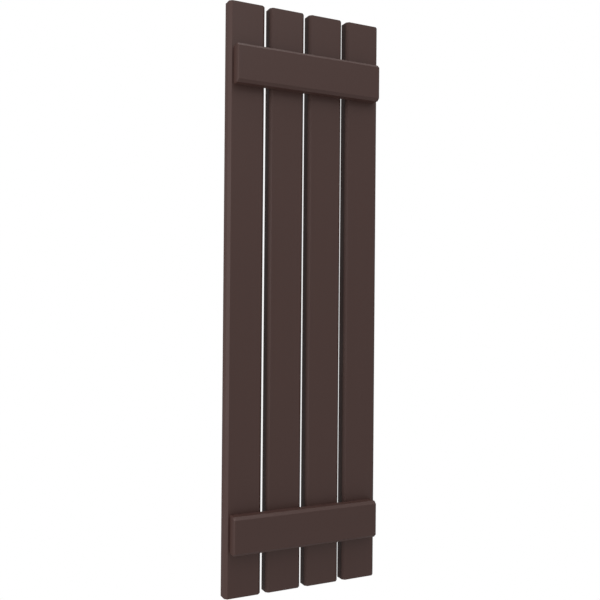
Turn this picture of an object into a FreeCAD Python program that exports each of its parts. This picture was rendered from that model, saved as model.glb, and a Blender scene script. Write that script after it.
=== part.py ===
import FreeCAD, Part
import os

# Board and batten shutter: upright boards, spaced apart, behind two battens that hold them together.
# Frame: +Z up, +X to the right from in front. The front faces -Y, and the backs of the boards lie at y = 0.
# The origin is on the back of the second board from the left, at its middle. Lengths are in millimetres.

# Boards
BOARD_COUNT = 4
BOARD_WIDTH = 88.9
BOARD_THICKNESS = 25.4
BOARD_HEIGHT = 1346.2
BOARD_GAP = 12.7
HOME_BOARD = 2

# Battens
BATTEN_HEIGHT = 87.3
BATTEN_THICKNESS = 25.4
BATTEN_END_INSET = 9.5
BATTEN_END_OFFSET = 101.6

# Easing of every plank: a bevel round its front, and a small cut off each of its four corners
EDGE_BEVEL = 6.35
CORNER_CUT = 2.5

# Trim-head screws, driven from behind through the boards into the battens
SCREW_SHANK_RADIUS = 1.6
SCREW_HEAD_RADIUS = 2.8
SCREW_HEAD_HEIGHT = 2.6
SCREW_DRIVE_WIDTH = 2.2
SCREW_DRIVE_DEPTH = 2.0
SCREW_COVER = 9.5
SCREW_EDGE_DISTANCE = 22.0
SCREW_CLEARANCE = 0.05

BOARD_PITCH = BOARD_WIDTH + BOARD_GAP
SHUTTER_WIDTH = BOARD_COUNT * BOARD_WIDTH + (BOARD_COUNT - 1) * BOARD_GAP
LEFT_EDGE_X = -(HOME_BOARD - 1) * BOARD_PITCH - BOARD_WIDTH / 2
BATTEN_LENGTH = SHUTTER_WIDTH - 2 * BATTEN_END_INSET
SCREW_LENGTH = BOARD_THICKNESS + BATTEN_THICKNESS - SCREW_COVER
SCREW_RISE = BATTEN_HEIGHT / 2 - SCREW_EDGE_DISTANCE
BATTEN_MIDDLE_Z = {
    "top": BOARD_HEIGHT / 2 - BATTEN_END_OFFSET - BATTEN_HEIGHT / 2,
    "bottom": -BOARD_HEIGHT / 2 + BATTEN_END_OFFSET + BATTEN_HEIGHT / 2,
}


def board_middle_x(number):
    """Middle of a board, counted from 1 at the left."""
    return (number - HOME_BOARD) * BOARD_PITCH


def screw_places(number, level):
    """Name and (x, z) of both screws where a board crosses a batten, one above the other."""
    x = board_middle_x(number)
    z = BATTEN_MIDDLE_Z[level]
    return {"upper": (x, z + SCREW_RISE), "lower": (x, z - SCREW_RISE)}


def bevelled_plank(width, thickness, height):
    """Plank centred on x = 0 and z = 0 with its back on y = 0, its front bevelled all round."""
    corner = FreeCAD.Vector(-width / 2, -thickness, -height / 2)
    block = Part.makeBox(width, thickness, height, corner)
    front = [edge for edge in block.Edges if edge.BoundBox.YMax < -thickness / 2]
    corners = [edge for edge in block.Edges if edge.BoundBox.YLength > thickness / 2]
    return block.makeChamfer(EDGE_BEVEL, front).common(block.makeChamfer(CORNER_CUT, corners))


def screw_solid(grow=0.0):
    """Screw from y = 0 towards -Y, or the hole for it when grow is its clearance."""
    head = SCREW_HEAD_RADIUS + grow
    neck = SCREW_HEAD_HEIGHT + grow
    shank = SCREW_SHANK_RADIUS + grow
    end = SCREW_LENGTH + grow
    profile = [(0, 0), (head, 0), (head, -neck), (shank, -neck), (shank, -end), (0, -end), (0, 0)]
    wire = Part.makePolygon([FreeCAD.Vector(radius, y, 0) for radius, y in profile])
    return Part.Face(wire).revolve(FreeCAD.Vector(0, 0, 0), FreeCAD.Vector(0, 1, 0), 360)


def screw():
    """One screw with its square drive recess, its head level with y = 0."""
    corner = FreeCAD.Vector(-SCREW_DRIVE_WIDTH / 2, -SCREW_DRIVE_DEPTH, -SCREW_DRIVE_WIDTH / 2)
    drive = Part.makeBox(SCREW_DRIVE_WIDTH, SCREW_DRIVE_DEPTH, SCREW_DRIVE_WIDTH, corner)
    return screw_solid().cut(drive)


def moved(shape, x, y, z):
    """A copy of the shape, shifted."""
    copy = shape.copy()
    copy.translate(FreeCAD.Vector(x, y, z))
    return copy


def drilled(plank, places):
    """The plank with a hole for the screw at each place."""
    holes = [moved(screw_solid(SCREW_CLEARANCE), x, 0, z) for x, z in places]
    return plank.cut(holes)


def board(number):
    """One upright board with the screw holes where it crosses the battens."""
    plank = moved(bevelled_plank(BOARD_WIDTH, BOARD_THICKNESS, BOARD_HEIGHT), board_middle_x(number), 0, 0)
    places = [place for level in BATTEN_MIDDLE_Z for place in screw_places(number, level).values()]
    return drilled(plank, places)


def batten(level):
    """One batten across the front of the boards, with the screw holes in its back."""
    middle_x = LEFT_EDGE_X + SHUTTER_WIDTH / 2
    plank = bevelled_plank(BATTEN_LENGTH, BATTEN_THICKNESS, BATTEN_HEIGHT)
    plank = moved(plank, middle_x, -BOARD_THICKNESS, BATTEN_MIDDLE_Z[level])
    numbers = range(1, BOARD_COUNT + 1)
    places = [place for number in numbers for place in screw_places(number, level).values()]
    return drilled(plank, places)


def shutter():
    """Every piece of the shutter by name."""
    pieces = {f"board_{number}": board(number) for number in range(1, BOARD_COUNT + 1)}
    for level in BATTEN_MIDDLE_Z:
        pieces[f"{level}_batten"] = batten(level)
        for number in range(1, BOARD_COUNT + 1):
            for height, (x, z) in screw_places(number, level).items():
                pieces[f"screw_{level}_{number}_{height}"] = moved(screw(), x, 0, z)
    return pieces


os.makedirs("parts", exist_ok=True)
for name, shape in shutter().items():
    shape.exportStep(f"parts/{name}.step")
    print(name, shape.ShapeType, len(shape.Solids), round(shape.Volume), shape.isValid())
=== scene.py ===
import math

import bmesh
import bpy
from mathutils import Matrix, Vector


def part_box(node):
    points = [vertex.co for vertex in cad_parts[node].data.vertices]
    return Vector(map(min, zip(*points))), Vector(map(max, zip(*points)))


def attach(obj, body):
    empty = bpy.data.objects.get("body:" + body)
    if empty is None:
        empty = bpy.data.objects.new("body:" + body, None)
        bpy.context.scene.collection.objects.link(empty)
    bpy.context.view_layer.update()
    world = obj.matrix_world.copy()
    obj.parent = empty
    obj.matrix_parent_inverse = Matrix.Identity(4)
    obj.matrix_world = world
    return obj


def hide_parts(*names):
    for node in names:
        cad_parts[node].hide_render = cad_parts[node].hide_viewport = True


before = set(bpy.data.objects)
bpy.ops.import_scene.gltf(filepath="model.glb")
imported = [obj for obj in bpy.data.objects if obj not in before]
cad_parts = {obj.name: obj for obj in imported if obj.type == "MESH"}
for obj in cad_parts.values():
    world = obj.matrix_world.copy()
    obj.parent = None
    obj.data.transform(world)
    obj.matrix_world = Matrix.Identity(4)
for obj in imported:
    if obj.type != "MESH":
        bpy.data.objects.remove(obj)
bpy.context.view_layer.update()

BOARDS = ["board_1", "board_2", "board_3", "board_4"]
BATTENS = ["top_batten", "bottom_batten"]
SCREWS = sorted(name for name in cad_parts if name.startswith("screw"))

# Axes that the planks run along
LYING, UPRIGHT = 0, 2

# The solids' planks: bevelled all round the front, with cut corners
BEVEL = 0.00635
CORNER_CUT = 0.0025

# The real planks: bevelled along their long edges alone, with square ends that are slightly eased
BOARD_EASING = 0.0018
BATTEN_EASING = 0.003
EASING_STEPS = 3
EASING_PROFILE = 0.5

# What comes off each end of a board and of a batten
BOARD_TRIM = 0.0
BATTEN_TRIM = 0.0016

# Points nearer than this are one point, and faces that turn by less than this are one face
TOUCHING = 0.00005
FLAT = math.radians(0.5)

# View of the photograph
PICTURE_WIDTH = 600
SENSOR_WIDTH = 36.0
FOCAL_PIXELS = 740.3
CAMERA_PLACE = Vector((-0.7655, -1.5640, -0.0101))
CAMERA_YAW = math.radians(24.264)
CAMERA_PITCH = math.radians(0.231)
CAMERA_ROLL = math.radians(0.482)
CAMERA_SHIFT = (0.0709, 0.0017)

# Turn about X that brings a camera from looking down to looking level
LEVEL = math.pi / 2

# Light of the room in front and behind, and how far the change between them spreads
ROOM_FRONT = 0.69
ROOM_BEHIND = 0.36
ROOM_TURN = 0.03

# Share of the room's light that is missing at the right, and where the loss begins and is whole
ROOM_RIGHT_LOSS = 0.8
RIGHT_LOW, RIGHT_HIGH = 0.78, 0.97

# Light that is added straight above and straight below, and where it begins and is whole
ROOM_OVERHEAD = 4.5
ROOM_FLOOR = 0.9
POLE_LOW, POLE_HIGH = 0.91, 0.97

# Softboxes: place, width and height in metres, and power in watts
SOFTBOX_AIM = Vector((0.05, 0.0, 0.0))
SOFTBOXES = {
    "left wall": (Vector((-3.97, 0.52, 0.0)), 1.05, 5.6, 28),
    "left strip": (Vector((-1.6, -0.25, 0.1)), 0.5, 2.0, 12.5),
    "above": (Vector((0.1, -1.6, 2.0)), 1.2, 1.2, 11.8),
}

# Satin brown paint
PAINT_COLOUR = (0.0545, 0.0258, 0.0209)
PAINT_LIGHTER = (0.0640, 0.0310, 0.0255)
PAINT_IOR = 1.4
PAINT_ROUGHNESS = 0.50
PAINT_BUMP = 0.35
PAINT_BUMP_DEPTH = 0.00012

# Clouds in the paint: grains to the metre, and their share in its colour and roughness
CLOUD_GRAIN = 9.0
CLOUD_DETAIL = 3.0
CLOUD_LOW, CLOUD_HIGH = 0.35, 0.65
CLOUD_TINT = 0.10
CLOUD_ROUGHNESS = 0.06

# Streaks of the roller, drawn out along the plank, and their share in the colour and the relief
STREAK_GRAIN = 60.0
STREAK_DRAW = 0.03
STREAK_LOW, STREAK_HIGH = 0.3, 0.7
STREAK_TINT = 0.08
STREAK_HEIGHT = 0.3

# Stipple of the roller, which is in the relief alone
STIPPLE_GRAIN = 900.0
STIPPLE_HEIGHT = 0.6

# Stainless steel of the screws
STEEL_DARK = (0.50, 0.50, 0.51)
STEEL_LIGHT = (0.62, 0.62, 0.63)
STEEL_GRAIN = 700.0
STEEL_DETAIL = 3.0
STEEL_LOW, STEEL_HIGH = 0.3, 0.7
STEEL_ROUGHNESS = 0.28
STEEL_GRAIN_ROUGHNESS = 0.1
STEEL_BUMP = 0.2
STEEL_BUMP_DEPTH = 0.00005

# Backdrop
WHITE = (1.0, 1.0, 1.0)

# Sockets of a Mix node that mixes colours
MIX_AMOUNT, MIX_FIRST, MIX_SECOND = 0, 6, 7
MIX_RESULT = 2


class Signal:
    """An output of a node; arithmetic on it adds Math nodes to its tree."""

    def __init__(self, tree, socket):
        self.tree = tree
        self.socket = socket

    def beside(self, output):
        """Another output of the same node."""
        return Signal(self.tree, self.socket.node.outputs[output])

    def math(self, operation, *values):
        """The result of a Math node for the values."""
        return self.tree.add("ShaderNodeMath", {"operation": operation}, dict(enumerate(values)))

    def __add__(self, other):
        return self.math("ADD", self, other)

    def __radd__(self, other):
        return self.math("ADD", other, self)

    def __sub__(self, other):
        return self.math("SUBTRACT", self, other)

    def __rsub__(self, other):
        return self.math("SUBTRACT", other, self)

    def __mul__(self, other):
        return self.math("MULTIPLY", self, other)

    def __rmul__(self, other):
        return self.math("MULTIPLY", other, self)

    def above(self, other):
        """The larger of the two."""
        return self.math("MAXIMUM", self, other)

    def smooth(self, low, high):
        """0 at low, 1 at high and smooth in between."""
        settings = {"interpolation_type": "SMOOTHSTEP"}
        inputs = {"Value": self, "From Min": low, "From Max": high}
        return self.tree.add("ShaderNodeMapRange", settings, inputs, "Result")


class Tree:
    """A node tree that is filled by one method."""

    def __init__(self, nodes_tree):
        self.tree = nodes_tree

    def add(self, kind, settings=None, inputs=None, output=0):
        """Adds a node with its settings and its inputs, values or signals; gives one output."""
        node = self.tree.nodes.new(kind)
        for name, value in (settings or {}).items():
            setattr(node, name, value)
        for key, value in (inputs or {}).items():
            if isinstance(value, Signal):
                self.tree.links.new(value.socket, node.inputs[key])
            else:
                node.inputs[key].default_value = value
        return Signal(self, node.outputs[output]) if len(node.outputs) else node


def new_material(name):
    """An empty material and its tree."""
    material = bpy.data.materials.new(name)
    material.use_nodes = True
    material.node_tree.nodes.clear()
    return material, Tree(material.node_tree)


def object_place(tree):
    """The shaded point, in the frame of the shutter."""
    return tree.add("ShaderNodeTexCoord", output="Object")


def noise(tree, place, scale, detail=2.0, stretch=(1, 1, 1)):
    """Noise whose grain is 1 / scale metres, drawn out along an axis by a smaller stretch."""
    grain = tree.add("ShaderNodeMapping", inputs={"Vector": place, "Scale": stretch})
    inputs = {"Vector": grain, "Scale": scale, "Detail": detail}
    return tree.add("ShaderNodeTexNoise", inputs=inputs)


def blend(tree, amount, first, second):
    """Mix of two colours."""
    inputs = {MIX_AMOUNT: amount, MIX_FIRST: first, MIX_SECOND: second}
    return tree.add("ShaderNodeMix", {"data_type": "RGBA"}, inputs, MIX_RESULT)


def bump(tree, strength, depth, height):
    """Relief in the light alone, where a height of 1 stands out by the depth in metres."""
    inputs = {"Strength": strength, "Distance": depth, "Height": height}
    return tree.add("ShaderNodeBump", inputs=inputs)


def rgba(colour):
    """A colour that nothing shows through."""
    return (*colour, 1.0)


def paint_material(name, axis):
    """Satin brown paint from a fine roller, with faint streaks along the plank's axis."""
    material, tree = new_material(name)
    place = object_place(tree)
    draw = [STREAK_DRAW if side == axis else 1.0 for side in range(3)]
    cloud = noise(tree, place, CLOUD_GRAIN, CLOUD_DETAIL).smooth(CLOUD_LOW, CLOUD_HIGH)
    streak = noise(tree, place, STREAK_GRAIN, stretch=draw).smooth(STREAK_LOW, STREAK_HIGH)
    stipple = noise(tree, place, STIPPLE_GRAIN)
    lighter = cloud * CLOUD_TINT + streak * STREAK_TINT
    relief = stipple * STIPPLE_HEIGHT + streak * STREAK_HEIGHT
    surface = tree.add(
        "ShaderNodeBsdfPrincipled",
        inputs={
            "Base Color": blend(tree, lighter, rgba(PAINT_COLOUR), rgba(PAINT_LIGHTER)),
            "Roughness": PAINT_ROUGHNESS + cloud * CLOUD_ROUGHNESS,
            "Normal": bump(tree, PAINT_BUMP, PAINT_BUMP_DEPTH, relief),
            "IOR": PAINT_IOR,
        },
    )
    tree.add("ShaderNodeOutputMaterial", inputs={"Surface": surface})
    return material


def steel_material():
    """Plain stainless steel, slightly uneven in its colour and sheen."""
    material, tree = new_material("stainless_screw")
    grain = noise(tree, object_place(tree), STEEL_GRAIN, STEEL_DETAIL)
    lighter = grain.smooth(STEEL_LOW, STEEL_HIGH)
    surface = tree.add(
        "ShaderNodeBsdfPrincipled",
        inputs={
            "Base Color": blend(tree, lighter, rgba(STEEL_DARK), rgba(STEEL_LIGHT)),
            "Metallic": 1.0,
            "Roughness": STEEL_ROUGHNESS + grain * STEEL_GRAIN_ROUGHNESS,
            "Normal": bump(tree, STEEL_BUMP, STEEL_BUMP_DEPTH, grain),
        },
    )
    tree.add("ShaderNodeOutputMaterial", inputs={"Surface": surface})
    return material


def dress(node, material):
    """Gives a CAD node a material."""
    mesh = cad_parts[node].data
    mesh.materials.clear()
    mesh.materials.append(material)


def add_object(name, data):
    """A new object in the scene."""
    item = bpy.data.objects.new(name, data)
    bpy.context.scene.collection.objects.link(item)
    return item


def square_off(place, low, high, axis, trim):
    """Moves a point of the solid's cut corner or end bevel to where a square end has it."""
    across = LYING if axis == UPRIGHT else UPRIGHT
    ends = ((low[axis], low[axis] + trim), (high[axis], high[axis] - trim))
    end, square_end = min(ends, key=lambda levels: abs(place[axis] - levels[0]))
    side = min((low[across], high[across]), key=lambda level: abs(place[across] - level))
    from_end = abs(place[axis] - end)
    if max(from_end, abs(place[across] - side)) < CORNER_CUT + TOUCHING:
        place[axis], place[across], place.y = square_end, side, max(place.y, low.y + BEVEL)
    elif place.y < low.y + TOUCHING and from_end < BEVEL + TOUCHING:
        place[axis] = square_end


def ease_end(shape, axis, level, back, easing):
    """Rounds off the rim of a square end, except at the back."""
    at_end = {vertex for vertex in shape.verts if abs(vertex.co[axis] - level) < TOUCHING}
    rim = [
        edge
        for edge in shape.edges
        if at_end.issuperset(edge.verts)
        and min(vertex.co.y for vertex in edge.verts) < back - TOUCHING
    ]
    bmesh.ops.bevel(
        shape,
        geom=rim,
        offset=easing,
        segments=EASING_STEPS,
        profile=EASING_PROFILE,
        affect="EDGES",
    )


def square_ended_plank(node, axis, easing, trim, material):
    """A plank in place of the solid, which is like it but has square ends."""
    low, high = (Vector(corner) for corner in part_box(node))
    shape = bmesh.new()
    shape.from_mesh(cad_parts[node].data)
    bmesh.ops.remove_doubles(shape, verts=shape.verts, dist=TOUCHING)
    for vertex in shape.verts:
        square_off(vertex.co, low, high, axis, trim)
    bmesh.ops.remove_doubles(shape, verts=shape.verts, dist=TOUCHING)
    bmesh.ops.dissolve_limit(shape, angle_limit=FLAT, verts=shape.verts, edges=shape.edges)
    for level in (low[axis] + trim, high[axis] - trim):
        ease_end(shape, axis, level, high.y, easing)
    for face in shape.faces:
        face.smooth = False
    mesh = bpy.data.meshes.new(node + "_plank")
    shape.to_mesh(mesh)
    shape.free()
    mesh.materials.append(material)
    plank = add_object(node + "_plank", mesh)
    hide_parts(node)
    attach(plank, "root")


def set_world():
    """A backdrop that is white to the camera, and a room that is light in front and dim behind."""
    world = bpy.data.worlds.new("room")
    bpy.context.scene.world = world
    world.use_nodes = True
    world.node_tree.nodes.clear()
    tree = Tree(world.node_tree)
    direction = tree.add("ShaderNodeTexCoord", output="Generated")
    x = tree.add("ShaderNodeSeparateXYZ", inputs={"Vector": direction}, output="X")
    y, z = x.beside("Y"), x.beside("Z")
    room = y.smooth(-ROOM_TURN, ROOM_TURN) * (ROOM_BEHIND - ROOM_FRONT) + ROOM_FRONT
    room = room * (1.0 - x.smooth(RIGHT_LOW, RIGHT_HIGH) * ROOM_RIGHT_LOSS)
    room = room + z.smooth(POLE_LOW, POLE_HIGH) * ROOM_OVERHEAD
    room = room + (z * -1.0).smooth(POLE_LOW, POLE_HIGH) * ROOM_FLOOR
    camera_ray = tree.add("ShaderNodeLightPath", output="Is Camera Ray")
    seen = camera_ray.above(camera_ray.beside("Is Transmission Ray"))
    inputs = {"Color": rgba(WHITE), "Strength": seen * (1.0 - room) + room}
    backdrop = tree.add("ShaderNodeBackground", inputs=inputs)
    tree.add("ShaderNodeOutputWorld", inputs={"Surface": backdrop})


def softbox(name, place, width, height, power):
    """A softbox that points at the shutter."""
    light = bpy.data.lights.new(name, "AREA")
    light.shape = "RECTANGLE"
    light.size = width
    light.size_y = height
    light.energy = power
    lamp = add_object(name, light)
    turn = (SOFTBOX_AIM - place).to_track_quat("-Z", "Y").to_matrix().to_4x4()
    lamp.matrix_world = Matrix.Translation(place) @ turn


def place_camera():
    """The camera, fitted to the edges of the shutter in the photograph."""
    camera = bpy.data.cameras.new("camera")
    camera.sensor_width = SENSOR_WIDTH
    camera.lens = FOCAL_PIXELS * SENSOR_WIDTH / PICTURE_WIDTH
    camera.shift_x, camera.shift_y = CAMERA_SHIFT
    eye = add_object("camera", camera)
    yaw = Matrix.Rotation(-CAMERA_YAW, 4, "Z")
    pitch = Matrix.Rotation(LEVEL + CAMERA_PITCH, 4, "X")
    roll = Matrix.Rotation(CAMERA_ROLL, 4, "Z")
    eye.matrix_world = Matrix.Translation(CAMERA_PLACE) @ (yaw @ pitch) @ roll
    bpy.context.scene.camera = eye


bpy.context.scene.view_settings.view_transform = "Standard"
board_paint = paint_material("brown_paint_boards", UPRIGHT)
for name in BOARDS:
    square_ended_plank(name, UPRIGHT, BOARD_EASING, BOARD_TRIM, board_paint)
batten_paint = paint_material("brown_paint_battens", LYING)
for name in BATTENS:
    square_ended_plank(name, LYING, BATTEN_EASING, BATTEN_TRIM, batten_paint)
steel = steel_material()
for name in SCREWS:
    dress(name, steel)
set_world()
for name, (place, width, height, power) in SOFTBOXES.items():
    softbox(name, place, width, height, power)
place_camera()
